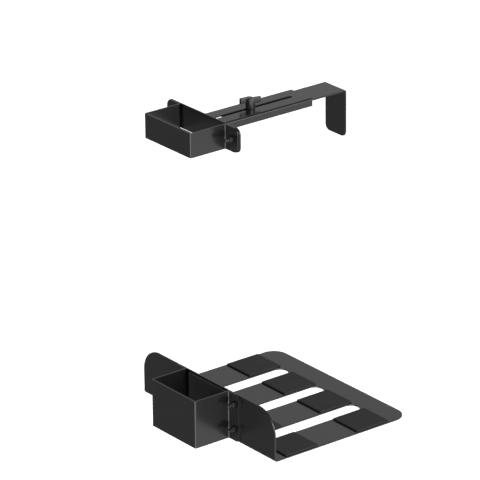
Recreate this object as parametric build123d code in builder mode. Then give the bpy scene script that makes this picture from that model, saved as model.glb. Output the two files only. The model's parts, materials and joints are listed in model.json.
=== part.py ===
from build123d import *
import os

# Desk-leg CPU holder: two bolted clamps on one rectangular desk leg. The lower one
# carries a slotted L-shaped tray, the upper one a telescoping arm that hooks over the
# computer. Origin on the leg's axis at the height of the tray's top face. +X points
# away from the leg along the arm, +Y across the leg, +Z up. Millimetres.

os.makedirs("parts", exist_ok=True)

# --- Desk leg the holder is clamped to (not part of the holder) ---
leg_x = 50.0
leg_y = 80.0

# --- Sheet steel ---
sheet_t = 2.0
arm_in_r = 0.8  # inside radius of the outer arm's bends
strap_corner_in_r = 0.2  # the same at a strap's front corners
strap_flange_in_r = 1.5  # the same where a strap turns out into its flanges
tray_bend_in_r = 2.0  # inside radius of the tray's long bend

# --- M5 button-head screws and hex nuts ---
screw_d = 5.0
screw_len = 14.0
screw_tip = 0.6  # chamfer on the free end of a thread
head_d = 9.5
head_h = 2.75
head_bevel = 1.3  # slope of the button head
key_af = 3.0  # hexagon socket across flats
key_depth = 1.6
hole_gap = 0.25  # radial clearance of a screw in its hole
nut_af = 8.0
nut_h = 4.0
nut_bevel = 0.4
thread_gap = 0.05  # radial clearance in a thread

# --- Lower clamp ---
lower_h = 63.0
lower_side_gap = 2.2  # leg side to the inside of the strap
lower_pad_t = 1.8  # grip pad between the leg and the tray's back plate
lower_pad_inset = 3.0  # pad's edge to the leg's or the strap's edge
lower_flange = 20.0
lower_flange_r = 6.0
lower_screw_pitch = 33.0

# --- Tray ---
tray_y = 265.0
shelf_x = 210.5  # inside of the back plate to the shelf's free edge
shelf_corner_r = 20.0
back_h = 62.5
back_corner_r = 31.0
slot_w = 21.8
slot_pitch = 71.2
slot_count = 3
tray_pad_x = 50.0
tray_pad_y = 47.5
tray_pad_t = 2.0
tray_pad_start = 16.8  # inside of the back plate to the first pads
tray_pad_pitch = 111.8

# --- Upper clamp ---
upper_z = 381.1
upper_h = 31.5
upper_side_gap = 3.6
upper_front_pad_t = 2.0  # grip pad inside the strap's front
upper_rear_gap = 0.3  # leg to the clamp plate
upper_pad_overlap = 2.0  # pad runs this far past the leg's sides
upper_flange = 24.0
upper_flange_r = 8.0
plate_rim = 1.5  # clamp plate beyond the strap's flange

# --- Outer arm: an inverted channel welded to the clamp plate ---
arm_w = 43.6
arm_drop = 10.0  # clamp plate's top edge to the arm's top face
arm_lip_h = 10.0
arm_len = 149.0
arm_slot_w = 5.5
arm_slot_start = 13.7  # clamp plate to the slot's inner end
arm_slot_end = 15.3  # slot's outer end to the arm's free end
weld_leg = 2.5

# --- Hook arm: flat strip sliding inside the channel ---
hook_play = 0.3  # to the channel's top and to each lip
hook_len = 173.6
hook_drop = 62.0
hook_bend_in_r = 1.0
hook_corner_r = 8.0
hook_reach = 204.3  # clamp plate to the hook's outer face
clamp_inset = 39.0  # hook arm's inner end to the clamping screw

# --- Clamping screw (carriage bolt) and tee knob ---
neck_w = 5.2
neck_h = 2.2  # ends below the outer arm, so that only the thread runs in its slot
neck_gap = 0.15
bolt_head_d = 13.0
bolt_head_h = 2.7
bolt_head_rim = 0.6
bolt_head_slope = 4.0
bolt_reach = 11.0  # thread above the arm
knob_h = 13.5
hub_d = 11.5
hub_drop = 0.7  # hub's top below the top of the wings
hub_bevel = 0.3
wing_root_r = 3.2
wing_root_offset = 2.2  # a wing's round root beside the knob's axis, the other's opposite
wing_tip_r = 2.3
wing_tip_offset = 1.5  # the same for its round tip
wing_reach = 11.3  # tip's centre along the wing
wing_h = 6.5
wing_turn = -13.5  # degrees from +X
wing_bevel = 0.3
insert_d = 7.6
insert_h = 11.5

# --- Places worked out from the sizes above ---
leg_front = -leg_x / 2
leg_rear = leg_x / 2
arm_mid_r = arm_in_r + sheet_t / 2
corner_mid_r = strap_corner_in_r + sheet_t / 2
flange_mid_r = strap_flange_in_r + sheet_t / 2

lower_web = leg_front - sheet_t / 2
lower_side = leg_y / 2 + lower_side_gap + sheet_t / 2
lower_flange_rear = leg_rear + lower_pad_t
lower_edge = lower_side + sheet_t / 2 + lower_flange
lower_screw_y = lower_edge - lower_flange / 2
lower_screw_z = [
    (lower_h - lower_screw_pitch) / 2,
    (lower_h + lower_screw_pitch) / 2,
]
lower_places = [(y, z) for y in (-lower_screw_y, lower_screw_y) for z in lower_screw_z]

back_front = lower_flange_rear
back_rear = back_front + sheet_t
shelf_edge = back_rear + shelf_x
pads_start = back_rear + tray_pad_start
pads_end = pads_start + tray_pad_pitch + tray_pad_x
slot_ys = [(i - (slot_count - 1) / 2) * slot_pitch for i in range(slot_count)]
slat_edges = [-tray_y / 2]
for slot_y in slot_ys:
    slat_edges += [slot_y - slot_w / 2, slot_y + slot_w / 2]
slat_edges.append(tray_y / 2)
slat_ys = [(slat_edges[2 * i] + slat_edges[2 * i + 1]) / 2 for i in range(slot_count + 1)]

upper_web = leg_front - upper_front_pad_t - sheet_t / 2
upper_side = leg_y / 2 + upper_side_gap + sheet_t / 2
plate_front = leg_rear + upper_rear_gap
plate_rear = plate_front + sheet_t
upper_edge = upper_side + sheet_t / 2 + upper_flange
upper_screw_y = upper_edge - upper_flange / 2
upper_screw_z = upper_z + upper_h / 2
upper_places = [(-upper_screw_y, upper_screw_z), (upper_screw_y, upper_screw_z)]

arm_top = upper_z + upper_h - arm_drop
arm_end = plate_rear + arm_len
arm_slot_from = plate_rear + arm_slot_start
arm_slot_to = arm_end - arm_slot_end
hook_top = arm_top - sheet_t - hook_play
hook_under = hook_top - sheet_t
hook_w = arm_w - 2 * sheet_t - 2 * hook_play
hook_face = plate_rear + hook_reach
hook_start = hook_face - hook_len
clamp_x = hook_start + clamp_inset
hub_top = arm_top + knob_h - hub_drop


def make_strap(web_x, side_y, edge_y, flange_rear, bottom, height, corner_r, places):
    """Hat-shaped clamp strap: web, two sides and two flanges with screw holes."""
    flange_mid = flange_rear - sheet_t / 2
    with BuildPart() as strap:
        with BuildSketch(Plane.XY.offset(bottom)):
            with BuildLine():
                FilletPolyline(
                    (flange_mid, -edge_y),
                    (flange_mid, -side_y),
                    (web_x, -side_y),
                    (web_x, side_y),
                    (flange_mid, side_y),
                    (flange_mid, edge_y),
                    radius=[flange_mid_r, corner_mid_r, corner_mid_r, flange_mid_r],
                )
            trace(line_width=sheet_t)
        extrude(amount=height)
        free_edges = strap.edges().filter_by(Axis.X)
        fillet(free_edges.group_by(Axis.Y)[0] + free_edges.group_by(Axis.Y)[-1], corner_r)
        with BuildSketch(Plane.YZ.offset(flange_rear)):
            with Locations(*places):
                Circle(screw_d / 2 + hole_gap)
        extrude(amount=-sheet_t, mode=Mode.SUBTRACT)
    return strap


def make_screw():
    """Button-head screw along X: head's seat at x = 0, thread towards -X."""
    with BuildPart() as screw:
        with BuildSketch(Plane.YZ):
            Circle(head_d / 2)
        extrude(amount=head_h)
        chamfer(screw.edges().group_by(Axis.X)[-1], head_bevel)
        with BuildSketch(Plane.YZ.offset(head_h)):
            RegularPolygon(key_af / 2, 6, major_radius=False)
        extrude(amount=-key_depth, mode=Mode.SUBTRACT)
        with BuildSketch(Plane.YZ):
            Circle(screw_d / 2)
        extrude(amount=-screw_len)
        chamfer(screw.edges().group_by(Axis.X)[0], screw_tip)
    return screw


def make_nut():
    """Hex nut along X: seat at x = 0, body towards -X."""
    with BuildPart() as nut:
        with BuildSketch(Plane.YZ):
            RegularPolygon(nut_af / 2, 6, major_radius=False)
        extrude(amount=-nut_h)
        corner_r = nut_af / 3**0.5
        with BuildSketch(Plane.XY):
            with BuildLine():
                Polyline(
                    (0, 0),
                    (0, corner_r - nut_bevel),
                    (-nut_bevel / 2, corner_r),
                    (-nut_h + nut_bevel / 2, corner_r),
                    (-nut_h, corner_r - nut_bevel),
                    (-nut_h, 0),
                    close=True,
                )
            make_face()
        revolve(axis=Axis.X, mode=Mode.INTERSECT)
        with BuildSketch(Plane.YZ):
            Circle(screw_d / 2 + thread_gap)
        extrude(amount=-nut_h, mode=Mode.SUBTRACT)
    return nut


# --- Tray: back plate and slotted shelf from one bent sheet ---
with BuildPart() as tray:
    with BuildSketch(Plane.XZ):
        with BuildLine():
            FilletPolyline(
                (back_front + sheet_t / 2, back_h),
                (back_front + sheet_t / 2, -sheet_t / 2),
                (shelf_edge, -sheet_t / 2),
                radius=tray_bend_in_r + sheet_t / 2,
            )
        trace(line_width=sheet_t)
    extrude(amount=tray_y / 2, both=True)
    fillet(tray.edges().filter_by(Axis.Z).group_by(Axis.X)[-1], shelf_corner_r)
    fillet(tray.edges().filter_by(Axis.X).group_by(Axis.Z)[-1], back_corner_r)
    with BuildSketch(Plane.XY):
        with Locations(*[((pads_start + pads_end) / 2, y) for y in slot_ys]):
            SlotOverall(pads_end - pads_start, slot_w)
    extrude(amount=-sheet_t, mode=Mode.SUBTRACT)
    with BuildSketch(Plane.YZ.offset(back_front)):
        with Locations(*lower_places):
            Circle(screw_d / 2 + hole_gap)
    extrude(amount=sheet_t, mode=Mode.SUBTRACT)
tray.part.label = "tray"
export_step(tray.part, "parts/tray.step")

# --- Foam pads on the shelf: two rows of four, centred on the slats ---
for row, pad_x in (("inner", pads_start), ("outer", pads_start + tray_pad_pitch)):
    for number, pad_y in enumerate(slat_ys, start=1):
        with BuildPart() as tray_pad:
            with BuildSketch(Plane.XY):
                with Locations((pad_x + tray_pad_x / 2, pad_y)):
                    Rectangle(tray_pad_x, tray_pad_y)
            extrude(amount=tray_pad_t)
        tray_pad.part.label = f"tray_pad_{row}_{number}"
        export_step(tray_pad.part, f"parts/tray_pad_{row}_{number}.step")

# --- Lower clamp ---
lower_strap = make_strap(
    lower_web,
    lower_side,
    lower_edge,
    lower_flange_rear,
    0,
    lower_h,
    lower_flange_r,
    lower_places,
)
lower_strap.part.label = "lower_strap"
export_step(lower_strap.part, "parts/lower_strap.step")

# Grip pad on the front of the back plate, squeezed by the leg
with BuildPart() as lower_grip_pad:
    with BuildSketch(Plane.YZ.offset(leg_rear)):
        with Locations((0, lower_h / 2)):
            Rectangle(leg_y - 2 * lower_pad_inset, lower_h - 2 * lower_pad_inset)
    extrude(amount=lower_pad_t)
lower_grip_pad.part.label = "lower_grip_pad"
export_step(lower_grip_pad.part, "parts/lower_grip_pad.step")

with BuildPart() as lower_screws:
    with Locations(*[(back_rear, y, z) for y, z in lower_places]):
        add(make_screw().part)
lower_screws.part.label = "lower_screws"
export_step(lower_screws.part, "parts/lower_screws.step")

with BuildPart() as lower_nuts:
    with Locations(*[(lower_flange_rear - sheet_t, y, z) for y, z in lower_places]):
        add(make_nut().part)
lower_nuts.part.label = "lower_nuts"
export_step(lower_nuts.part, "parts/lower_nuts.step")

# --- Upper clamp ---
upper_strap = make_strap(
    upper_web,
    upper_side,
    upper_edge,
    plate_front,
    upper_z,
    upper_h,
    upper_flange_r,
    upper_places,
)
upper_strap.part.label = "upper_strap"
export_step(upper_strap.part, "parts/upper_strap.step")

with BuildPart() as upper_grip_pad:
    with BuildSketch(Plane.YZ.offset(leg_front - upper_front_pad_t)):
        with Locations((0, upper_z + upper_h / 2)):
            Rectangle(leg_y + 2 * upper_pad_overlap, upper_h)
    extrude(amount=upper_front_pad_t)
upper_grip_pad.part.label = "upper_grip_pad"
export_step(upper_grip_pad.part, "parts/upper_grip_pad.step")

# Flat plate behind the leg that the strap's flanges are bolted to
with BuildPart() as upper_plate:
    with BuildSketch(Plane.YZ.offset(plate_front)):
        with Locations((0, upper_z + upper_h / 2)):
            RectangleRounded(2 * (upper_edge + plate_rim), upper_h, upper_flange_r)
        with Locations(*upper_places):
            Circle(screw_d / 2 + hole_gap, mode=Mode.SUBTRACT)
    extrude(amount=sheet_t)
upper_plate.part.label = "upper_plate"
export_step(upper_plate.part, "parts/upper_plate.step")

with BuildPart() as upper_screws:
    with Locations(*[(plate_rear, y, z) for y, z in upper_places]):
        add(make_screw().part)
upper_screws.part.label = "upper_screws"
export_step(upper_screws.part, "parts/upper_screws.step")

with BuildPart() as upper_nuts:
    with Locations(*[(plate_front - sheet_t, y, z) for y, z in upper_places]):
        add(make_nut().part)
upper_nuts.part.label = "upper_nuts"
export_step(upper_nuts.part, "parts/upper_nuts.step")

# --- Outer arm: inverted channel with a slot along its top ---
with BuildPart() as outer_arm:
    with BuildSketch(Plane.YZ.offset(plate_rear)):
        with BuildLine():
            FilletPolyline(
                (-(arm_w - sheet_t) / 2, arm_top - arm_lip_h),
                (-(arm_w - sheet_t) / 2, arm_top - sheet_t / 2),
                ((arm_w - sheet_t) / 2, arm_top - sheet_t / 2),
                ((arm_w - sheet_t) / 2, arm_top - arm_lip_h),
                radius=arm_mid_r,
            )
        trace(line_width=sheet_t)
    extrude(amount=arm_len)
    with BuildSketch(Plane.XY.offset(arm_top)):
        with Locations(((arm_slot_from + arm_slot_to) / 2, 0)):
            SlotOverall(arm_slot_to - arm_slot_from, arm_slot_w)
    extrude(amount=-sheet_t, mode=Mode.SUBTRACT)
outer_arm.part.label = "outer_arm"
export_step(outer_arm.part, "parts/outer_arm.step")

# Fillet weld round the outside of the channel where it meets the clamp plate
with BuildPart() as arm_weld:
    with BuildLine(Plane.YZ.offset(plate_rear)) as weld_path:
        FilletPolyline(
            (-arm_w / 2, arm_top - arm_lip_h),
            (-arm_w / 2, arm_top),
            (arm_w / 2, arm_top),
            (arm_w / 2, arm_top - arm_lip_h),
            radius=arm_in_r + sheet_t,
        )
    with BuildSketch(Plane.XY.offset(arm_top - arm_lip_h)):
        with BuildLine():
            Polyline(
                (plate_rear, -arm_w / 2),
                (plate_rear + weld_leg, -arm_w / 2),
                (plate_rear, -arm_w / 2 - weld_leg),
                close=True,
            )
        make_face()
    sweep(path=weld_path.line)
arm_weld.part.label = "arm_weld"
export_step(arm_weld.part, "parts/arm_weld.step")

# --- Hook arm: sliding strip turned down at its end ---
with BuildPart() as hook_arm:
    with BuildSketch(Plane.XZ):
        with BuildLine():
            FilletPolyline(
                (hook_start, hook_top - sheet_t / 2),
                (hook_face - sheet_t / 2, hook_top - sheet_t / 2),
                (hook_face - sheet_t / 2, hook_top - hook_drop),
                radius=hook_bend_in_r + sheet_t / 2,
            )
        trace(line_width=sheet_t)
    extrude(amount=hook_w / 2, both=True)
    fillet(hook_arm.edges().filter_by(Axis.X).group_by(Axis.Z)[0], hook_corner_r)
    with BuildSketch(Plane.XY.offset(hook_top)):
        with Locations((clamp_x, 0)):
            Rectangle(neck_w + 2 * neck_gap, neck_w + 2 * neck_gap)
    extrude(amount=-sheet_t, mode=Mode.SUBTRACT)
hook_arm.part.label = "hook_arm"
export_step(hook_arm.part, "parts/hook_arm.step")

# --- Clamping screw: carriage bolt up through the hook arm and the slot ---
with BuildPart() as clamp_screw:
    with BuildSketch(Plane.XY.offset(hook_under)):
        with Locations((clamp_x, 0)):
            Circle(bolt_head_d / 2)
    extrude(amount=-bolt_head_h)
    chamfer(
        clamp_screw.edges().group_by(Axis.Z)[0],
        bolt_head_h - bolt_head_rim,
        bolt_head_slope,
    )
    with BuildSketch(Plane.XY.offset(hook_under)):
        with Locations((clamp_x, 0)):
            Rectangle(neck_w, neck_w)
    extrude(amount=neck_h)
    with BuildSketch(Plane.XY.offset(hook_under)):
        with Locations((clamp_x, 0)):
            Circle(screw_d / 2)
    extrude(amount=arm_top + bolt_reach - hook_under)
    chamfer(clamp_screw.edges().group_by(Axis.Z)[-1], screw_tip)
clamp_screw.part.label = "clamp_screw"
export_step(clamp_screw.part, "parts/clamp_screw.step")

# --- Tee knob with a threaded insert: each wing runs on from one side of the hub ---
with BuildPart() as knob:
    for turn in (wing_turn, wing_turn + 180):
        with BuildSketch(Plane.XY.offset(arm_top + knob_h - wing_h)):
            with Locations(Location((clamp_x, 0), turn)):
                with Locations((0, -wing_root_offset)):
                    Circle(wing_root_r)
                with Locations((wing_reach, -wing_tip_offset)):
                    Circle(wing_tip_r)
            make_hull()
        extrude(amount=wing_h)
    chamfer(knob.faces().sort_by(Axis.Z)[-1].edges(), wing_bevel)
    with BuildSketch(Plane.XZ):
        with BuildLine():
            Polyline(
                (clamp_x, hub_top),
                (clamp_x, arm_top),
                (clamp_x + hub_d / 2, arm_top),
                (clamp_x + hub_d / 2, hub_top - hub_bevel),
                (clamp_x + hub_d / 2 - hub_bevel, hub_top),
                close=True,
            )
        make_face()
    revolve(axis=Axis((clamp_x, 0, 0), (0, 0, 1)))
    with BuildSketch(Plane.XY.offset(arm_top)):
        with Locations((clamp_x, 0)):
            Circle(insert_d / 2)
    extrude(amount=insert_h, mode=Mode.SUBTRACT)
knob.part.label = "knob"
export_step(knob.part, "parts/knob.step")

with BuildPart() as knob_insert:
    with BuildSketch(Plane.XY.offset(arm_top)):
        with Locations((clamp_x, 0)):
            Circle(insert_d / 2)
            Circle(screw_d / 2 + thread_gap, mode=Mode.SUBTRACT)
    extrude(amount=insert_h)
knob_insert.part.label = "knob_insert"
export_step(knob_insert.part, "parts/knob_insert.step")
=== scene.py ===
import json
import math

import bmesh
import bpy
from mathutils import Matrix, Vector, noise


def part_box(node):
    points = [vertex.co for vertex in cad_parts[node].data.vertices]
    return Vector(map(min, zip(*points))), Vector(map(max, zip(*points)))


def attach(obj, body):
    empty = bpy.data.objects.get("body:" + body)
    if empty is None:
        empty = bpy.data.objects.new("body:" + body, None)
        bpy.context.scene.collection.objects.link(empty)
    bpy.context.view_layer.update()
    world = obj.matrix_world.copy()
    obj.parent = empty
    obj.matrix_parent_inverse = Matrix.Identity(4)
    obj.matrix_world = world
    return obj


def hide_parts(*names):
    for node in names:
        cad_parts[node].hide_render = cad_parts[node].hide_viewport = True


# The looks of a desk-leg CPU holder: black powder-coated sheet steel, foam pads, black
# screws and nuts, and a moulded tee knob, in a plain white studio.

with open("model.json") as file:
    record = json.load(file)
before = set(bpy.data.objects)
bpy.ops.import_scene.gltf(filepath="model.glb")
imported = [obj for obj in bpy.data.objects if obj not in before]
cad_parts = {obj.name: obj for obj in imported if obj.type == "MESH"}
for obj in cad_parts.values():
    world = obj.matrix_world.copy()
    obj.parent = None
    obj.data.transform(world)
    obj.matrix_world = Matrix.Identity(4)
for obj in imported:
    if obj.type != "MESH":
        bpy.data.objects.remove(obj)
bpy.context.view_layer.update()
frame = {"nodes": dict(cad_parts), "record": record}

MM = 0.001


# ---------------------------------------------------------------- materials
def new_material(name):
    mat = bpy.data.materials.new(name)
    mat.use_nodes = True
    tree = mat.node_tree
    return mat, tree, tree.nodes["Principled BSDF"]


def object_coords(tree):
    return tree.nodes.new("ShaderNodeTexCoord").outputs["Object"]


def add_noise(tree, coords, scale, detail, rough):
    """A noise texture, with that many cells in a metre."""
    tex = tree.nodes.new("ShaderNodeTexNoise")
    tex.inputs["Scale"].default_value = scale
    tex.inputs["Detail"].default_value = detail
    tex.inputs["Roughness"].default_value = rough
    tree.links.new(coords, tex.inputs["Vector"])
    return tex.outputs["Fac"]


def add_range(tree, value, low, high, from_low=0.3, from_high=0.7):
    """The value spread from low to high. A noise mostly lies between 0.3 and 0.7."""
    node = tree.nodes.new("ShaderNodeMapRange")
    node.inputs["From Min"].default_value = from_low
    node.inputs["From Max"].default_value = from_high
    node.inputs["To Min"].default_value = low
    node.inputs["To Max"].default_value = high
    tree.links.new(value, node.inputs["Value"])
    return node.outputs["Result"]


def add_mix(tree, factor, a, b):
    """From a, where the factor is 0, to b. Each is a colour or a socket."""
    node = tree.nodes.new("ShaderNodeMix")
    node.data_type = "RGBA"
    tree.links.new(factor, node.inputs["Factor"])
    for socket, value in ((node.inputs["A"], a), (node.inputs["B"], b)):
        if isinstance(value, tuple):
            socket.default_value = (*value, 1.0)
        else:
            tree.links.new(value, socket)
    return node.outputs["Result"]


def add_edges(tree, radius):
    """0 on a flat face, rising towards 1 on an outside or inside edge of that radius."""
    bevel = tree.nodes.new("ShaderNodeBevel")
    bevel.samples = 6
    bevel.inputs["Radius"].default_value = radius
    geometry = tree.nodes.new("ShaderNodeNewGeometry")
    dot = tree.nodes.new("ShaderNodeVectorMath")
    dot.operation = "DOT_PRODUCT"
    tree.links.new(bevel.outputs["Normal"], dot.inputs[0])
    tree.links.new(geometry.outputs["Normal"], dot.inputs[1])
    return add_range(tree, dot.outputs["Value"], 1.0, 0.0, 0.75, 0.99)


def add_bump(tree, height, distance, strength, normal=None):
    bump = tree.nodes.new("ShaderNodeBump")
    bump.inputs["Distance"].default_value = distance
    bump.inputs["Strength"].default_value = strength
    tree.links.new(height, bump.inputs["Height"])
    if normal is not None:
        tree.links.new(normal, bump.inputs["Normal"])
    return bump.outputs["Normal"]


def shade(colour, factor):
    return tuple(c * factor for c in colour)


def add_mottle(tree, coords, colour, darkest, palest, scale, detail, rough):
    """The colour in soft patches, from darkest to palest times itself."""
    patches = add_range(tree, add_noise(tree, coords, scale, detail, rough), 0.0, 1.0)
    return add_mix(tree, patches, shade(colour, darkest), shade(colour, palest))


def add_edge_wear_and_sheen(tree, body, wear_and_sheen_colour, radius, amount):
    """The body's colour, turned towards a paler one on outside and inside edges of that radius:
    partly wear, partly a painted sheen.
    """
    edge = add_range(tree, add_edges(tree, radius), 0.0, amount, 0.1, 0.9)
    return add_mix(tree, edge, body, wear_and_sheen_colour)


def powder_coat(name, colour, wear_and_sheen_colour, roughness):
    """Satin powder coat on sheet steel: orange peel, faint mottling, paler edges that are partly
    wear and partly a painted sheen.
    """
    mat, tree, bsdf = new_material(name)
    coords = object_coords(tree)
    body = add_mottle(tree, coords, colour, 0.92, 1.08, scale=18, detail=5.0, rough=0.6)
    # The edges are painted paler: partly wear, partly a painted sheen along them.
    skin = add_edge_wear_and_sheen(tree, body, wear_and_sheen_colour, radius=0.5 * MM, amount=0.55)
    tree.links.new(skin, bsdf.inputs["Base Color"])
    smear = add_noise(tree, coords, scale=45, detail=3.0, rough=0.5)
    gloss = add_range(tree, smear, roughness - 0.02, roughness + 0.02)
    tree.links.new(gloss, bsdf.inputs["Roughness"])
    bsdf.inputs["Specular IOR Level"].default_value = 0.5
    peel = add_noise(tree, coords, scale=750, detail=2.0, rough=0.5)
    grain = add_noise(tree, coords, scale=3200, detail=1.0, rough=0.5)
    normal = add_bump(tree, peel, distance=0.04 * MM, strength=0.12)
    normal = add_bump(tree, grain, distance=0.01 * MM, strength=0.12, normal=normal)
    tree.links.new(normal, bsdf.inputs["Normal"])
    return mat


def foam(name, colour, cell):
    """Closed-cell foam: fine pores with painted shade in their pits, matte, slightly uneven
    colour.
    """
    mat, tree, bsdf = new_material(name)
    coords = object_coords(tree)
    cells = tree.nodes.new("ShaderNodeTexVoronoi")
    cells.inputs["Scale"].default_value = 1.0 / cell
    tree.links.new(coords, cells.inputs["Vector"])
    pores_and_pit_shade = add_range(tree, cells.outputs["Distance"], 0.0, 1.0, 0.0, 0.55)
    body = add_mottle(tree, coords, colour, 0.88, 1.12, scale=60, detail=4.0, rough=0.6)
    # The pits of the pores are painted darker: painted shade in them.
    skin = add_mix(tree, pores_and_pit_shade, shade(colour, 0.6), body)
    tree.links.new(skin, bsdf.inputs["Base Color"])
    bsdf.inputs["Roughness"].default_value = 0.9
    bsdf.inputs["Specular IOR Level"].default_value = 0.12
    bsdf.inputs["Sheen Weight"].default_value = 0.02
    bsdf.inputs["Sheen Roughness"].default_value = 0.6
    soft = add_noise(tree, coords, scale=300, detail=2.0, rough=0.5)
    normal = add_bump(tree, pores_and_pit_shade, distance=0.12 * MM, strength=0.5)
    normal = add_bump(tree, soft, distance=0.1 * MM, strength=0.25, normal=normal)
    tree.links.new(normal, bsdf.inputs["Normal"])
    return mat


def plated_metal(name, colour, wear_and_sheen_colour, roughness):
    """Plated metal of a fastener, slightly stained, paler on its edges: partly rubbed wear,
    partly a painted sheen.
    """
    mat, tree, bsdf = new_material(name)
    coords = object_coords(tree)
    body = add_mottle(tree, coords, colour, 0.8, 1.25, scale=350, detail=4.0, rough=0.6)
    # Edges painted paler: partly rubbed wear, partly a painted sheen.
    skin = add_edge_wear_and_sheen(tree, body, wear_and_sheen_colour, radius=0.2 * MM, amount=0.8)
    tree.links.new(skin, bsdf.inputs["Base Color"])
    bsdf.inputs["Metallic"].default_value = 0.8
    smear = add_noise(tree, coords, scale=900, detail=3.0, rough=0.5)
    gloss = add_range(tree, smear, roughness - 0.06, roughness + 0.08)
    tree.links.new(gloss, bsdf.inputs["Roughness"])
    normal = add_bump(tree, smear, distance=0.01 * MM, strength=0.3)
    tree.links.new(normal, bsdf.inputs["Normal"])
    return mat


def plastic(name, colour, roughness):
    """Moulded plastic with a fine spark-eroded grain and paler edges, partly wear and partly a
    painted sheen.
    """
    mat, tree, bsdf = new_material(name)
    coords = object_coords(tree)
    body = add_mottle(tree, coords, colour, 0.92, 1.08, scale=120, detail=4.0, rough=0.6)
    # Edges painted over twice as pale: partly wear, partly a painted sheen.
    skin = add_edge_wear_and_sheen(tree, body, shade(colour, 2.2), radius=0.4 * MM, amount=0.35)
    tree.links.new(skin, bsdf.inputs["Base Color"])
    grain = add_noise(tree, coords, scale=2500, detail=2.0, rough=0.6)
    gloss = add_range(tree, grain, roughness - 0.04, roughness + 0.05)
    tree.links.new(gloss, bsdf.inputs["Roughness"])
    normal = add_bump(tree, grain, distance=0.02 * MM, strength=0.3)
    tree.links.new(normal, bsdf.inputs["Normal"])
    return mat


# Each finish's second colour is the paler tone of its edges: partly wear, partly a painted
# sheen.
slot_materials = {
    "black_steel": powder_coat(
        "powder_coat",
        colour=(0.0048, 0.0047, 0.0046),
        wear_and_sheen_colour=(0.012, 0.0118, 0.0116),
        roughness=0.21,
    ),
    "foam_pad": foam("foam", colour=(0.0150, 0.0150, 0.0152), cell=0.9 * MM),
    "rubber_pad": foam("liner", colour=(0.030, 0.030, 0.030), cell=0.6 * MM),
    "black_screw": plated_metal(
        "black_zinc",
        colour=(0.045, 0.045, 0.046),
        wear_and_sheen_colour=(0.18, 0.172, 0.168),
        roughness=0.28,
    ),
    "knob_plastic": plastic("knob_plastic", colour=(0.010, 0.010, 0.0102), roughness=0.26),
    "insert_metal": plated_metal(
        "insert_steel",
        colour=(0.52, 0.52, 0.50),
        wear_and_sheen_colour=(0.68, 0.68, 0.66),
        roughness=0.35,
    ),
}
for part in frame["record"]["subparts"]:
    for material_slot in frame["nodes"][part["node"]].material_slots:
        material_slot.material = slot_materials[part["material_slot"]]


# ---------------------------------------------------------------- making of pieces
RING = 48  # points round a turned or threaded shape
DIRECTIONS = [
    (math.cos(2 * math.pi * j / RING), math.sin(2 * math.pi * j / RING)) for j in range(RING)
]
MERGE_DISTANCE = 0.0001 * MM
THREAD_PITCH = 0.8 * MM
THREAD_CREST_R = 2.47 * MM
THREAD_ROOT_R = 2.02 * MM
THREAD_ROOT_HALF = 0.0625  # half the flat at the root, as a share of the pitch
THREAD_FLANK = 0.34  # one flank, the same

body_of = {
    node: body
    for body, nodes in frame["record"]["behaviour"]["bodies"].items()
    for node in nodes
}
slot_of = {part["node"]: part["material_slot"] for part in frame["record"]["subparts"]}


def build_mesh(name, verts, faces, merge=False):
    """A mesh whose faces all look outwards, with double points merged if asked."""
    mesh = bpy.data.meshes.new(name)
    mesh.from_pydata([tuple(v) for v in verts], [], faces)
    shape = bmesh.new()
    shape.from_mesh(mesh)
    if merge:
        bmesh.ops.remove_doubles(shape, verts=shape.verts, dist=MERGE_DISTANCE)
    bmesh.ops.recalc_face_normals(shape, faces=shape.faces)
    shape.to_mesh(mesh)
    shape.free()
    return mesh


def add_object(name, mesh):
    made = bpy.data.objects.new(name, mesh)
    bpy.context.scene.collection.objects.link(made)
    return made


def add_piece(name, node, verts, faces, smooth_angle):
    """A detailed mesh that stands for a CAD node, on its body and in its slot."""
    mesh = build_mesh(name, verts, faces)
    mesh.materials.append(slot_materials[slot_of[node]])
    mesh.shade_smooth()
    mesh.set_sharp_from_angle(angle=math.radians(smooth_angle))
    piece = add_object(name, mesh)
    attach(piece, body_of[node])
    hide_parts(node)
    return piece


def add_group(name, node, skins, smooth_angle):
    """Several closed shapes as one piece, for a node of several solids."""
    verts, faces = [], []
    for skin in skins:
        base = len(verts)
        verts += skin.verts
        faces += [tuple(base + n for n in face) for face in skin.faces]
    return add_piece(name, node, verts, faces, smooth_angle)


def along_x(x, y, z, turn=0.0):
    """Lays a shape's axis along X from that point, turned about itself."""
    ct, st = math.cos(turn), math.sin(turn)

    def place(u, v, w):
        return (x + w, y + ct * u - st * v, z + st * u + ct * v)

    return place


def upright(x, y, z):
    """Stands a shape's axis up from that point."""

    def place(u, v, w):
        return (x + u, y + v, z + w)

    return place


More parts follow.
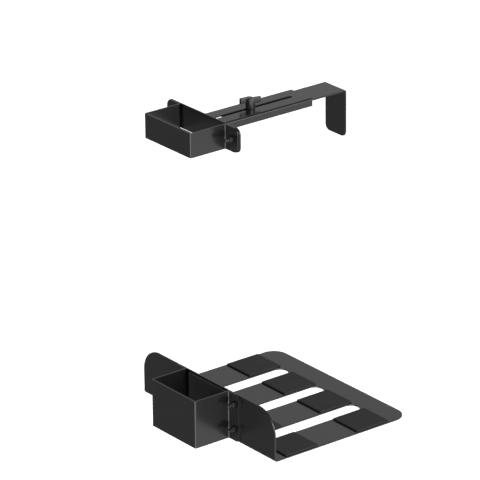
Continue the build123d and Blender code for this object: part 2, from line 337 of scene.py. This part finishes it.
class Skin:
    """Points and faces of a closed shape that is laid up ring by ring."""

    def __init__(self, place):
        self.place = place
        self.verts = []
        self.faces = []

    def ring(self, points):
        start = len(self.verts)
        self.verts += [self.place(*p) for p in points]
        return list(range(start, len(self.verts)))

    def circle(self, radius, z):
        return self.ring([(radius * c, radius * s, z) for c, s in DIRECTIONS])

    def outline(self, radii, heights):
        return self.ring(
            [(r * c, r * s, z) for (c, s), r, z in zip(DIRECTIONS, radii, heights)]
        )

    def level_outline(self, radii, z):
        return self.outline(radii, [z] * RING)

    def bridge(self, a, b):
        for j in range(RING):
            k = (j + 1) % RING
            self.faces.append((a[j], a[k], b[k], b[j]))

    def lay(self, *rings):
        """Joins each ring to the next and gives back the last one."""
        for a, b in zip(rings, rings[1:]):
            self.bridge(a, b)
        return rings[-1]

    def cap(self, ring, z):
        """Closes a ring with a fan round its middle at that height."""
        centre = self.ring([(0, 0, z)])[0]
        for j in range(RING):
            self.faces.append((ring[j], ring[(j + 1) % RING], centre))

    def thread(self, start, end):
        """A right-hand thread from z = start up to end; its first and last rings."""
        marks = {}

        def point(j, z):
            z = min(max(z, start), end)
            key = (j, round(z * 1e7))
            if key not in marks:
                turn = (z / THREAD_PITCH - j / RING) % 1.0
                climb = (abs(turn - 0.5) - THREAD_ROOT_HALF) / THREAD_FLANK
                depth = THREAD_CREST_R - THREAD_ROOT_R
                radius = THREAD_ROOT_R + depth * min(max(climb, 0.0), 1.0)
                c, s = DIRECTIONS[j]
                marks[key] = self.ring([(radius * c, radius * s, z)])[0]
            return marks[key]

        root_half, flank_end = THREAD_ROOT_HALF, THREAD_ROOT_HALF + THREAD_FLANK
        steps = (0.0, 0.5 - flank_end, 0.5 - root_half, 0.5 + root_half, 0.5 + flank_end)
        per_turn = len(steps)
        first, last = math.floor(start / THREAD_PITCH) - 1, math.ceil(end / THREAD_PITCH)
        rows = [
            (turn + step) * THREAD_PITCH for turn in range(first, last + 1) for step in steps
        ]
        for i in range(len(rows) - 1 - per_turn):
            for j in range(RING):
                k = (j + 1) % RING
                skip = per_turn if k == 0 else 0
                lift_j, lift_k = THREAD_PITCH * j / RING, THREAD_PITCH * k / RING
                corners = [
                    point(j, rows[i] + lift_j),
                    point(k, rows[i + skip] + lift_k),
                    point(k, rows[i + 1 + skip] + lift_k),
                    point(j, rows[i + 1] + lift_j),
                ]
                face = [c for n, c in enumerate(corners) if c != corners[n - 1]]
                if len(set(face)) > 2:
                    self.faces.append(tuple(face))
        low = [point(j, start) for j in range(RING)]
        high = [point(j, end) for j in range(RING)]
        return low, high


def hexagon(across):
    """Radius of a hexagon of that size across flats, at each point of a ring."""
    sixth = math.pi / 3
    angles = [(2 * math.pi * j / RING) % sixth - sixth / 2 for j in range(RING)]
    return [across / 2 / math.cos(angle) for angle in angles]


def square(across, corner):
    """Radius of a square with rounded corners, at each point of a ring."""
    radii = []
    half = across / 2
    inner = half - corner
    for c, s in DIRECTIONS:
        c, s = abs(c), abs(s)
        flat = half / max(c, s)
        along = inner * (c + s)
        reach = along * along - 2 * inner * inner + corner * corner
        rounded = along + math.sqrt(reach) if reach > 0 else flat
        radii.append(rounded if min(c, s) * flat > inner else flat)
    return radii


def quarter(steps):
    """Sine and cosine at even steps over a quarter turn, without its first point."""
    for step in range(1, steps + 1):
        angle = math.radians(step * 90 / steps)
        yield math.sin(angle), math.cos(angle)


# ---------------------------------------------------------------- screws and nuts
SHANK_R = 2.5 * MM
TIP_R = 1.85 * MM
TIP_LENGTH = 0.6 * MM  # chamfer on the free end of a thread
DOME_STEPS = 8

HEAD_R = 4.75 * MM
HEAD_H = 2.75 * MM
HEAD_TOP_R = 2.35 * MM  # flat top round the key's socket
HEAD_RIM = 0.55 * MM  # where the dome's curve comes down to the rim
HEAD_EDGE = 0.12 * MM
KEY_ACROSS = 3.0 * MM
KEY_FLARE = 0.25 * MM
KEY_LEAD = 0.15 * MM
KEY_DEPTH = 1.6 * MM
KEY_POINT = 2.0 * MM  # depth at the drilled point
SHANK_FILLET = ((0.25 * MM, 0.0), (0.05 * MM, -0.08 * MM), (0.0, -0.3 * MM))  # out, up
THREAD_DROP = 0.5 * MM  # from the head's seat down to the thread
SCREW_TURN = 0.9  # radians that each screw is turned on from the one before

NUT_ACROSS = 8.0 * MM
NUT_FACE = 0.955  # chamfered face's diameter, as a share of the size across flats
NUT_SLOPE = math.tan(math.radians(30))
NUT_BORE_R = THREAD_CREST_R + 0.06 * MM
NUT_SINK = 0.4 * MM

SHEET_T = 2.0 * MM
BOLT_RIM_H = 0.5 * MM
BOLT_EDGE = 0.15 * MM
NECK_ACROSS = 5.2 * MM
NECK_CORNER = 0.5 * MM
NECK_FOOT_W = 0.2 * MM
NECK_FOOT_H = 0.25 * MM
NECK_H = 1.95 * MM
NECK_TOP = 2.2 * MM
BOLT_THREAD_FROM = 2.3 * MM


def corner_places(node, half_y, half_z):
    """Where a node's fasteners of that half size stand, in the corners of its box."""
    low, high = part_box(node)
    rows = sorted({round(low.z + half_z, 7), round(high.z - half_z, 7)})
    return [(y, z) for y in (low.y + half_y, high.y - half_y) for z in rows]


def button_screw(place, length):
    """A button-head socket screw, with its head above 0 and its thread below."""
    skin = Skin(place)
    key = hexagon(KEY_ACROSS)
    socket_floor = skin.level_outline(key, HEAD_H - KEY_DEPTH)
    skin.cap(socket_floor, HEAD_H - KEY_POINT)
    last = skin.lay(
        socket_floor,
        skin.level_outline(key, HEAD_H - KEY_LEAD),
        skin.level_outline(hexagon(KEY_ACROSS + KEY_FLARE), HEAD_H),
        skin.circle(HEAD_TOP_R, HEAD_H),
    )
    for s, c in quarter(DOME_STEPS):
        radius = HEAD_TOP_R + (HEAD_R - HEAD_TOP_R) * s
        last = skin.lay(last, skin.circle(radius, HEAD_RIM + (HEAD_H - HEAD_RIM) * c))
    last = skin.lay(
        last,
        skin.circle(HEAD_R, HEAD_EDGE),
        skin.circle(HEAD_R - HEAD_EDGE, 0),
        *[skin.circle(SHANK_R + out, up) for out, up in SHANK_FILLET],
    )
    low_ring, high_ring = skin.thread(TIP_LENGTH - length, -THREAD_DROP)
    skin.bridge(last, high_ring)
    tip = skin.lay(low_ring, skin.circle(TIP_R, -length))
    skin.cap(tip, -length)
    return skin


def button_screws(node, name):
    """Button-head socket screws along X, heads on the +X side."""
    low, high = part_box(node)
    seat = high.x - HEAD_H
    skins = []
    for n, (y, z) in enumerate(corner_places(node, HEAD_R, HEAD_R), start=1):
        place = along_x(seat, y, z, turn=n * SCREW_TURN)
        skins.append(button_screw(place, seat - low.x))
    return add_group(name, node, skins, smooth_angle=40)


def hex_nut(place, height):
    """A hexagon nut, chamfered on both faces, with a countersunk bore."""
    skin = Skin(place)
    hexed = hexagon(NUT_ACROSS)
    face_r = NUT_ACROSS / 2 * NUT_FACE
    drop = [(r - face_r) * NUT_SLOPE for r in hexed]
    rings = [
        skin.circle(face_r, 0),
        skin.outline(hexed, drop),
        skin.outline(hexed, [height - d for d in drop]),
        skin.circle(face_r, height),
        skin.circle(NUT_BORE_R + NUT_SINK, height),
        skin.circle(NUT_BORE_R, height - NUT_SINK),
        skin.circle(NUT_BORE_R, NUT_SINK),
        skin.circle(NUT_BORE_R + NUT_SINK, 0),
    ]
    skin.lay(*rings, rings[0])
    return skin


def hex_nuts(node, name):
    """Hexagon nuts along X, with corners on their left and right."""
    low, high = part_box(node)
    skins = [
        hex_nut(along_x(low.x, y, z), high.x - low.x)
        for y, z in corner_places(node, NUT_ACROSS / math.sqrt(3), NUT_ACROSS / 2)
    ]
    return add_group(name, node, skins, smooth_angle=25)


def carriage_bolt(node, name):
    """Domed head under the hook arm, square neck through it, thread up into the knob."""
    low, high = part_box(node)
    centre = (low + high) / 2
    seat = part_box("hook_arm")[1].z - SHEET_T
    length = high.z - seat
    head_r = (high.x - low.x) / 2
    head_h = seat - low.z
    skin = Skin(upright(centre.x, centre.y, seat))
    dome = [
        skin.circle(head_r * s, -BOLT_RIM_H - (head_h - BOLT_RIM_H) * c)
        for s, c in quarter(DOME_STEPS)
    ]
    skin.cap(dome[0], -head_h)
    neck = square(NECK_ACROSS, NECK_CORNER)
    last = skin.lay(
        *dome,
        skin.circle(head_r, -BOLT_EDGE),
        skin.circle(head_r - BOLT_EDGE, 0),
        skin.level_outline([r + NECK_FOOT_W for r in neck], 0),
        skin.level_outline(neck, NECK_FOOT_H),
        skin.level_outline(neck, NECK_H),
        skin.circle(SHANK_R, NECK_TOP),
    )
    low_ring, high_ring = skin.thread(BOLT_THREAD_FROM, length - TIP_LENGTH)
    skin.bridge(last, low_ring)
    tip = skin.lay(high_ring, skin.circle(TIP_R, length))
    skin.cap(tip, length)
    return add_piece(name, node, skin.verts, skin.faces, smooth_angle=40)


button_screws("lower_screws", "lower_button_screws")
button_screws("upper_screws", "upper_button_screws")
hex_nuts("lower_nuts", "lower_hex_nuts")
hex_nuts("upper_nuts", "upper_hex_nuts")
carriage_bolt("clamp_screw", "carriage_bolt")


# ---------------------------------------------------------------- foam and rubber pads
EDGE_STATIONS = (0.0, 0.12, 0.4, 1.0)  # rows of points in a pad's edge, in edge radii
COARSE_SWELL = 4.5 * MM
FINE_SWELL = 1.6 * MM


def spread(low, high, radius, pitch):
    """Stations along one side of a rounded block: close in its edges, even between."""
    edge = [radius * t for t in EDGE_STATIONS]
    inner = high - low - 2 * radius
    count = max(1, round(inner / pitch))
    middle = [low + radius + inner * n / count for n in range(1, count)]
    return [low + e for e in edge] + middle + [high - e for e in reversed(edge)]


def soft_pad(node, name, radius, pitch, uneven):
    """A die-cut foam or rubber pad: soft edges and a slightly uneven skin."""
    low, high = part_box(node)
    stations = [spread(low[i], high[i], radius, pitch) for i in range(3)]
    marks, verts, faces = {}, [], []

    def point(p):
        key = tuple(round(c * 1e7) for c in p)
        if key not in marks:
            p = Vector(p)
            core = Vector(
                [min(max(p[i], low[i] + radius), high[i] - radius) for i in range(3)]
            )
            way = (p - core).normalized()
            spot = core + way * radius
            swell = noise.noise(spot / COARSE_SWELL) + 0.5 * noise.noise(spot / FINE_SWELL)
            marks[key] = len(verts)
            verts.append(spot - way * uneven * (0.75 + 0.5 * swell))
        return marks[key]

    for axis in range(3):
        a, b = (axis + 1) % 3, (axis + 2) % 3
        for level in (stations[axis][0], stations[axis][-1]):
            for p0, p1 in zip(stations[a], stations[a][1:]):
                for q0, q1 in zip(stations[b], stations[b][1:]):
                    corners = []
                    for p, q in ((p0, q0), (p1, q0), (p1, q1), (p0, q1)):
                        spot = [0.0, 0.0, 0.0]
                        spot[axis], spot[a], spot[b] = level, p, q
                        corners.append(point(spot))
                    faces.append(tuple(corners))
    piece = add_piece(name, node, verts, faces, smooth_angle=180)
    return piece


for row in ("inner", "outer"):
    for n in range(1, 5):
        soft_pad(
            f"tray_pad_{row}_{n}",
            f"foam_pad_{row}_{n}",
            radius=0.45 * MM,
            pitch=1.25 * MM,
            uneven=0.06 * MM,
        )
for clamp in ("lower", "upper"):
    soft_pad(
        f"{clamp}_grip_pad",
        f"{clamp}_grip_liner",
        radius=0.4 * MM,
        pitch=1.5 * MM,
        uneven=0.03 * MM,
    )


# ---------------------------------------------------------------- tee knob
# Two wings run on from opposite sides of a round hub to round tips.
WING_ROOT_R = 3.2 * MM
WING_ROOT_OFFSET = 2.2 * MM
WING_TIP_R = 2.3 * MM
WING_TIP_OFFSET = 1.5 * MM
WING_REACH = 11.3 * MM
WING_H = 6.5 * MM
WING_TURN = math.radians(-13.5)
HUB_R = 5.75 * MM
HUB_DROP = 0.7 * MM
KNOB_BORE_R = 3.8 * MM
KNOB_BORE_H = 11.5 * MM
KNOB_EDGE = 0.3 * MM
KNOB_EDGE_STEPS = 3
KNOB_SOFTENING = 0.25 * MM  # on the sharp edges left once hub and wings are joined
KNOB_CREASE = math.radians(38)


def knob_edge():
    """How far a rounded edge lies in and down, from the flat to the side."""
    for step in range(KNOB_EDGE_STEPS + 1):
        angle = math.radians(90 * step / KNOB_EDGE_STEPS)
        yield KNOB_EDGE * (1 - math.sin(angle)), KNOB_EDGE * (1 - math.cos(angle))


def wing_outline(turn, inset):
    """Points round one wing seen from above, RING of them, drawn in by inset."""
    rise = WING_ROOT_OFFSET - WING_TIP_OFFSET
    way = math.atan2(rise, WING_REACH)
    lean = math.acos((WING_ROOT_R - WING_TIP_R) / math.hypot(rise, WING_REACH))
    arcs = (
        (WING_REACH, -WING_TIP_OFFSET, WING_TIP_R, way - lean, way + lean),
        (0.0, -WING_ROOT_OFFSET, WING_ROOT_R, way + lean, way - lean + 2 * math.pi),
    )
    ct, st = math.cos(turn), math.sin(turn)
    count = RING // 2
    points = []
    for centre_x, centre_y, radius, start, end in arcs:
        for n in range(count):
            angle = start + (end - start) * n / (count - 1)
            x = centre_x + (radius - inset) * math.cos(angle)
            y = centre_y + (radius - inset) * math.sin(angle)
            points.append((ct * x - st * y, st * x + ct * y))
    return points


def knob_hub(place, height):
    """The round hub, closed above, with the insert's bore from below."""
    hub = Skin(place)
    top = height - HUB_DROP
    crown = [hub.circle(HUB_R - inward, top - down) for inward, down in knob_edge()]
    hub.cap(crown[0], top)
    bore = hub.lay(
        *crown,
        hub.circle(HUB_R, KNOB_EDGE),
        hub.circle(HUB_R - KNOB_EDGE, 0),
        hub.circle(KNOB_BORE_R, 0),
        hub.circle(KNOB_BORE_R, KNOB_BORE_H),
    )
    hub.cap(bore, KNOB_BORE_H)
    return hub


def knob_wing(place, height, turn):
    """One wing, rounded above and below."""
    wing = Skin(place)
    lower, upper = [], []
    for inward, down in knob_edge():
        outline = wing_outline(turn, inward)
        lower.append(wing.ring([(x, y, height - WING_H + down) for x, y in outline]))
        upper.append(wing.ring([(x, y, height - down) for x, y in outline]))
    wing.lay(*lower, *reversed(upper))
    wing.faces.append(tuple(reversed(lower[0])))
    wing.faces.append(tuple(upper[0]))
    return wing


def loose_object(name, skin):
    """An object that only serves to make another."""
    return add_object(name, build_mesh(name, skin.verts, skin.faces, merge=True))


def tee_knob(node, name):
    """Moulded tee knob: a hub with a threaded insert's bore, two wings on its top."""
    low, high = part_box(node)
    axis = (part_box("clamp_screw")[0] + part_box("clamp_screw")[1]) / 2
    place = upright(axis.x, axis.y, low.z)
    height = high.z - low.z
    body = loose_object("tee_knob_hub", knob_hub(place, height))
    wings = []
    for turn in (WING_TURN, WING_TURN + math.pi):
        wings.append(loose_object("tee_knob_wing", knob_wing(place, height, turn)))
        union = body.modifiers.new("join", "BOOLEAN")
        union.operation = "UNION"
        union.solver = "EXACT"
        union.object = wings[-1]
    soften = body.modifiers.new("soften", "BEVEL")
    soften.width = KNOB_SOFTENING
    soften.segments = 2
    soften.limit_method = "ANGLE"
    soften.angle_limit = KNOB_CREASE
    mesh = bpy.data.meshes.new_from_object(
        body.evaluated_get(bpy.context.evaluated_depsgraph_get())
    )
    verts = [v.co.copy() for v in mesh.vertices]
    faces = [tuple(p.vertices) for p in mesh.polygons]
    for spare in (body, *wings):
        bpy.data.objects.remove(spare)
    bpy.data.meshes.remove(mesh)
    return add_piece(name, node, verts, faces, smooth_angle=40)


tee_knob("knob", "tee_knob")


# ---------------------------------------------------------------- weld
ARM_BEND_R = 2.8 * MM  # outside of the channel's bends
WELD_STEP = 0.3 * MM
WELD_ACROSS = 9  # points across the bead's face
RIPPLE_PITCH = 1.25 * MM
RIPPLE_LAG = 0.45  # how far a ripple's middle trails its ends, in ripples
RIPPLE_DEPTH = 0.06
RUN_OUT = 2 * MM  # length over which each end of the bead tapers
RUN_OUT_SIZE = 0.45  # what is left of the bead's size at its very ends
WANDER = 0.03
WANDER_LENGTH = 3 * MM
BULGE = -0.62  # -1 would be a flat face, 0 a round one


def channel_runs(half, foot, top):
    """Lengths of the channel's side, bend and top along its outline."""
    return top - ARM_BEND_R - foot, math.pi / 2 * ARM_BEND_R, 2 * (half - ARM_BEND_R)


def channel_spot(s, half, foot, top):
    """Place and outward direction on the channel's outline, s along it."""
    straight, arc, across = channel_runs(half, foot, top)
    if s < straight:
        return (-half, foot + s), (-1, 0)
    s -= straight
    if s < arc:
        c, d = math.cos(s / ARM_BEND_R), math.sin(s / ARM_BEND_R)
        y = -half + ARM_BEND_R - ARM_BEND_R * c
        return (y, top - ARM_BEND_R + ARM_BEND_R * d), (-c, d)
    s -= arc
    if s < across:
        return (-half + ARM_BEND_R + s, top), (0, 1)
    s -= across
    if s < arc:
        c, d = math.cos(s / ARM_BEND_R), math.sin(s / ARM_BEND_R)
        y = half - ARM_BEND_R + ARM_BEND_R * d
        return (y, top - ARM_BEND_R + ARM_BEND_R * c), (d, c)
    return (half, top - ARM_BEND_R - (s - arc)), (1, 0)


def weld_bead(node, name):
    """Fillet weld laid round the channel in overlapping ripples."""
    low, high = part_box(node)
    leg = high.x - low.x
    half = high.y - leg
    top = high.z - leg
    straight, arc, across = channel_runs(half, low.z, top)
    length = 2 * straight + 2 * arc + across
    count = round(length / WELD_STEP)
    verts, faces, rings = [], [], []
    for n in range(count + 1):
        s = length * n / count
        (y, z), (out_y, out_z) = channel_spot(s, half, low.z, top)
        from_end = min(s, length - s)
        taper = RUN_OUT_SIZE + (1 - RUN_OUT_SIZE) * min(from_end / RUN_OUT, 1.0) ** 0.5
        wander = WANDER * noise.noise(Vector((s / WANDER_LENGTH, 0.3, 0.7)))
        ring = [len(verts)]
        verts.append((low.x, y, z))
        for m in range(WELD_ACROSS):
            angle = math.radians(90 * m / (WELD_ACROSS - 1))
            phase = (s / RIPPLE_PITCH - RIPPLE_LAG * math.sin(2 * angle)) % 1.0
            ripple = 1 - RIPPLE_DEPTH * (1 - math.sqrt(max(0.0, math.sin(math.pi * phase))))
            size = leg * taper * (ripple + wander - WANDER)
            bulge = (math.cos(angle) + math.sin(angle)) ** BULGE
            reach = min(size * bulge, leg)
            aside = reach * math.sin(angle)
            ring.append(len(verts))
            verts.append((low.x + reach * math.cos(angle), y + out_y * aside, z + out_z * aside))
        rings.append(ring)
    for a, b in zip(rings, rings[1:]):
        for j in range(len(a)):
            k = (j + 1) % len(a)
            faces.append((a[j], a[k], b[k], b[j]))
    faces.append(tuple(reversed(rings[0])))
    faces.append(tuple(rings[-1]))
    return add_piece(name, node, verts, faces, smooth_angle=50)


weld_bead("arm_weld", "weld_bead")


# ---------------------------------------------------------------- sheet steel
COAT_EDGE = 0.32 * MM
COAT_EDGE_SEGMENTS = 3
COAT_CREASE = math.radians(40)
FLATNESS = math.radians(0.5)
SEAM_GAP = 0.002 * MM


def soften_sheet(sheet):
    """The coat rounds off the cut edges of a bent sheet."""
    join = sheet.modifiers.new("join", "WELD")
    join.merge_threshold = SEAM_GAP
    flats = sheet.modifiers.new("flats", "DECIMATE")
    flats.decimate_type = "DISSOLVE"
    flats.angle_limit = FLATNESS
    soften = sheet.modifiers.new("soften", "BEVEL")
    soften.width = COAT_EDGE
    soften.segments = COAT_EDGE_SEGMENTS
    soften.limit_method = "ANGLE"
    soften.angle_limit = COAT_CREASE
    soften.harden_normals = False
    level = sheet.modifiers.new("level", "WEIGHTED_NORMAL")
    level.keep_sharp = True


for node in ("tray", "lower_strap", "upper_strap", "upper_plate", "outer_arm", "hook_arm"):
    soften_sheet(frame["nodes"][node])


# ---------------------------------------------------------------- camera
# The view of the photograph, fitted to the edges of the leg, the straps and the tray.
CAMERA_YAW = math.radians(52.26)
CAMERA_PITCH = math.radians(22.258)
CAMERA_ROLL = math.radians(-0.583)
CAMERA_LENS = 302.9475  # mm, on a sensor 36 mm wide
SENSOR_WIDTH = 36
LEG_CORNER = Vector((-25, -40, 0)) * MM  # the leg's nearest corner, at the tray's height
CORNER_OFFSET = Vector((-55.37, 253.81, 4941.23)) * MM  # right of, below, ahead of the eye

forward = Vector(
    (
        math.cos(CAMERA_YAW) * math.cos(CAMERA_PITCH),
        math.sin(CAMERA_YAW) * math.cos(CAMERA_PITCH),
        -math.sin(CAMERA_PITCH),
    )
)
level_right = Vector((math.sin(CAMERA_YAW), -math.cos(CAMERA_YAW), 0))
level_up = level_right.cross(forward)
right = math.cos(CAMERA_ROLL) * level_right + math.sin(CAMERA_ROLL) * level_up
up = -math.sin(CAMERA_ROLL) * level_right + math.cos(CAMERA_ROLL) * level_up
eye = LEG_CORNER - (
    right * CORNER_OFFSET.x - up * CORNER_OFFSET.y + forward * CORNER_OFFSET.z
)
camera_data = bpy.data.cameras.new("camera")
camera_data.lens = CAMERA_LENS
camera_data.sensor_width = SENSOR_WIDTH
camera_data.clip_start = 0.1
camera_data.clip_end = 60
camera = add_object("camera", camera_data)
turned = Matrix((right, up, -forward)).transposed().to_4x4()
camera.matrix_world = Matrix.Translation(eye) @ turned
bpy.context.scene.camera = camera


# ---------------------------------------------------------------- light
# A dim studio all round with soft lights in it. The camera itself sees plain white.
STUDIO_BASE = 0.16
# Each light's direction, in degrees from +X and above the horizon, the cosines of the
# angle from it at which its glow begins and is full, and its strength.
STUDIO_LIGHTS = {
    "behind": ((52, 22), (0.80, 0.95), 0.43),
    "left": ((132, -22), (0.80, 0.97), 0.14),
    "low front": ((219, -22), (0.76, 0.97), 3.7),
    "lit floor at the right": ((310, -22), (0.30, 0.95), 1.06),
    "key at the front right": ((278, 22), (0.85, 0.98), 11.5),
    "fill at the front left": ((205, 30), (0.50, 0.95), 0.40),
    "overhead": ((0, 90), (0.88, 0.99), 1.6),
}

scene = bpy.context.scene
scene.view_settings.view_transform = "Standard"
scene.view_settings.look = "None"
world = bpy.data.worlds.new("studio")
scene.world = world
world.use_nodes = True
tree = world.node_tree
links = tree.links
direction = tree.nodes.new("ShaderNodeTexCoord").outputs["Generated"]


def toward(azimuth, elevation):
    """Cosine of the angle between a direction of the surroundings and that one."""
    a, e = math.radians(azimuth), math.radians(elevation)
    axis = Vector((math.cos(a) * math.cos(e), math.sin(a) * math.cos(e), math.sin(e)))
    dot = tree.nodes.new("ShaderNodeVectorMath")
    dot.operation = "DOT_PRODUCT"
    links.new(direction, dot.inputs[0])
    dot.inputs[1].default_value = axis.normalized()
    return dot.outputs["Value"]


def glow(value, low, high, strength):
    """A soft-edged light of that strength where value runs from low to high."""
    node = tree.nodes.new("ShaderNodeMapRange")
    node.interpolation_type = "SMOOTHSTEP"
    node.inputs["From Min"].default_value = low
    node.inputs["From Max"].default_value = high
    node.inputs["To Min"].default_value = 0.0
    node.inputs["To Max"].default_value = strength
    links.new(value, node.inputs["Value"])
    return node.outputs["Result"]


def plus(a, b):
    node = tree.nodes.new("ShaderNodeMath")
    node.operation = "ADD"
    links.new(a, node.inputs[0])
    links.new(b, node.inputs[1])
    return node.outputs["Value"]


base = tree.nodes.new("ShaderNodeValue")
base.outputs["Value"].default_value = STUDIO_BASE
light = base.outputs["Value"]
for (azimuth, elevation), (low, high), strength in STUDIO_LIGHTS.values():
    light = plus(light, glow(toward(azimuth, elevation), low, high, strength))
studio = tree.nodes["Background"]
backdrop = tree.nodes.new("ShaderNodeBackground")
for background in (studio, backdrop):
    background.inputs["Color"].default_value = (1.0, 1.0, 1.0, 1.0)
links.new(light, studio.inputs["Strength"])
light_path = tree.nodes.new("ShaderNodeLightPath")
seen = tree.nodes.new("ShaderNodeMixShader")
links.new(light_path.outputs["Is Camera Ray"], seen.inputs["Fac"])
links.new(studio.outputs["Background"], seen.inputs[1])
links.new(backdrop.outputs["Background"], seen.inputs[2])
links.new(seen.outputs["Shader"], tree.nodes["World Output"].inputs["Surface"])


# ---------------------------------------------------------------- floor
# The holder hangs on a desk leg, so the floor lies well below it.
FLOOR_Z = -0.6
FLOOR_HALF = 14.0

floor_mesh = bpy.data.meshes.new("floor")
floor_mesh.from_pydata(
    [
        (x * FLOOR_HALF, y * FLOOR_HALF, FLOOR_Z)
        for x, y in ((-1, -1), (1, -1), (1, 1), (-1, 1))
    ],
    [],
    [(0, 1, 2, 3)],
)
floor = add_object("floor", floor_mesh)
floor_mat, _, floor_bsdf = new_material("pale_floor")
floor_bsdf.inputs["Base Color"].default_value = (0.6, 0.6, 0.6, 1.0)
floor_bsdf.inputs["Roughness"].default_value = 0.9
floor_bsdf.inputs["Emission Color"].default_value = (1.0, 1.0, 1.0, 1.0)
floor_bsdf.inputs["Emission Strength"].default_value = 0.6
floor_mesh.materials.append(floor_mat)
floor.visible_diffuse = False
floor.visible_glossy = False
floor.visible_shadow = False
